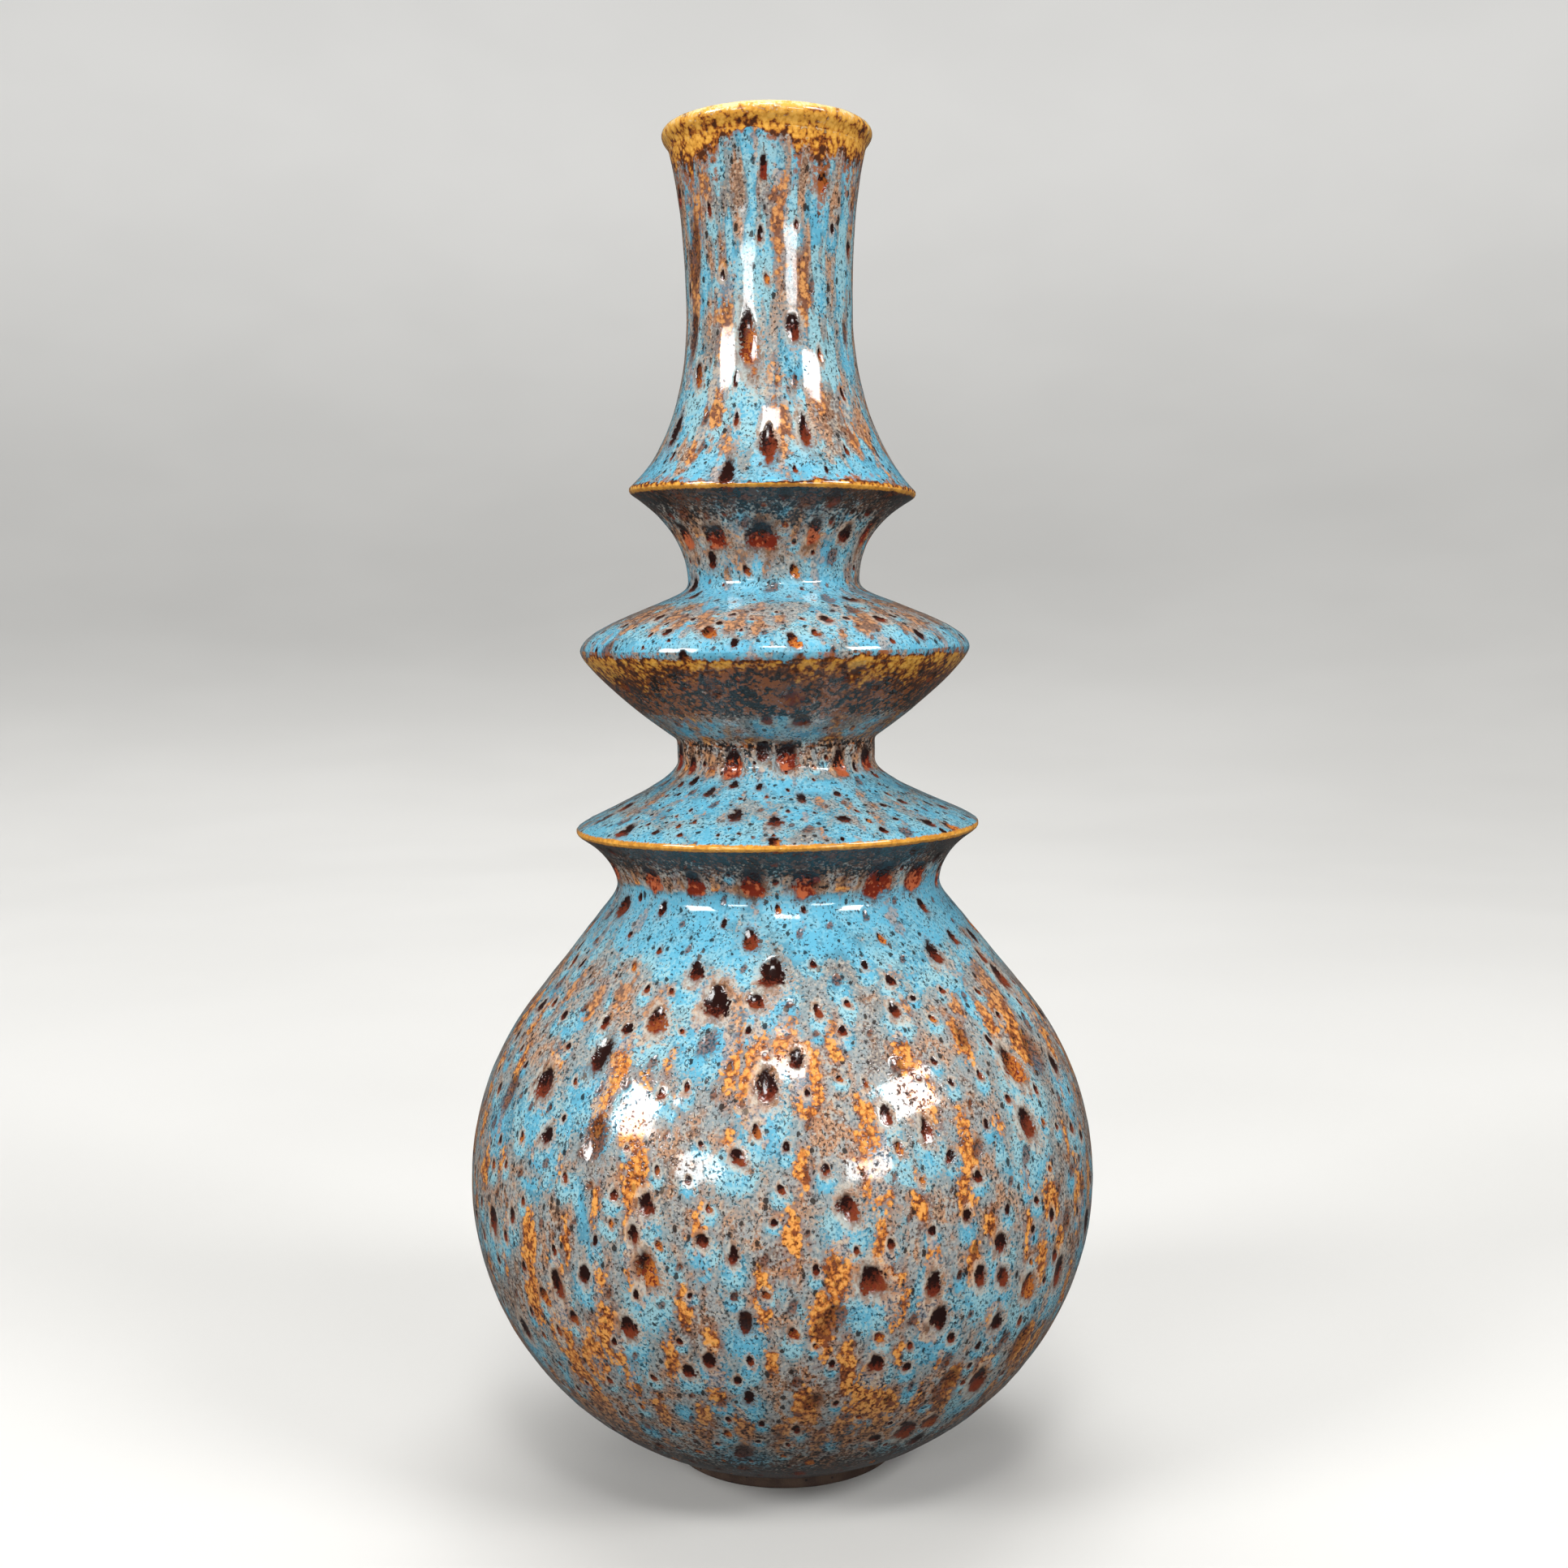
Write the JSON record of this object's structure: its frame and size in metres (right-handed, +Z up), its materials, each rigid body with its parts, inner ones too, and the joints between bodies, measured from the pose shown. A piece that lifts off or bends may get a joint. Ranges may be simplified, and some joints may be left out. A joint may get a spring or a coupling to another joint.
{
  "type": "tiered vase",
  "caption": "Glazed stoneware vase with a globe body, flared brims and a saucer on its stem, and a bell-shaped neck with a rolled lip, for cut stems or for show.",
  "frame": {"origin": "centre of the foot ring's underside, on the table", "axes": "+Z up along the vase's axis; X and Y are alike, because the vase is round"},
  "size_m": [0.1536, 0.1536, 0.325],
  "materials": {
    "mottled_glaze": "glossy reactive glaze, blue over iron brown",
    "honey_glaze": "glossy, glaze thin over the edge",
    "bare_clay": "unglazed stoneware",
    "luting_slip": "fired slip inside the joints"
  },
  "bodies": {
    "root": {"foot_ring": "bare_clay", "lower_bowl": "mottled_glaze", "upper_bowl": "mottled_glaze", "throat_collar": "mottled_glaze", "lower_skirt": "mottled_glaze", "saucer_underside": "mottled_glaze", "saucer_top": "mottled_glaze", "upper_collar": "mottled_glaze", "bell_neck": "mottled_glaze", "mouth_lip": "honey_glaze", "foot_slip": "luting_slip", "belly_slip": "luting_slip", "shoulder_slip": "luting_slip", "lower_brim_slip": "luting_slip", "lower_waist_slip": "luting_slip", "saucer_slip": "luting_slip", "upper_waist_slip": "luting_slip", "upper_brim_slip": "luting_slip", "lip_slip": "luting_slip"}
  },
  "joints": []
}
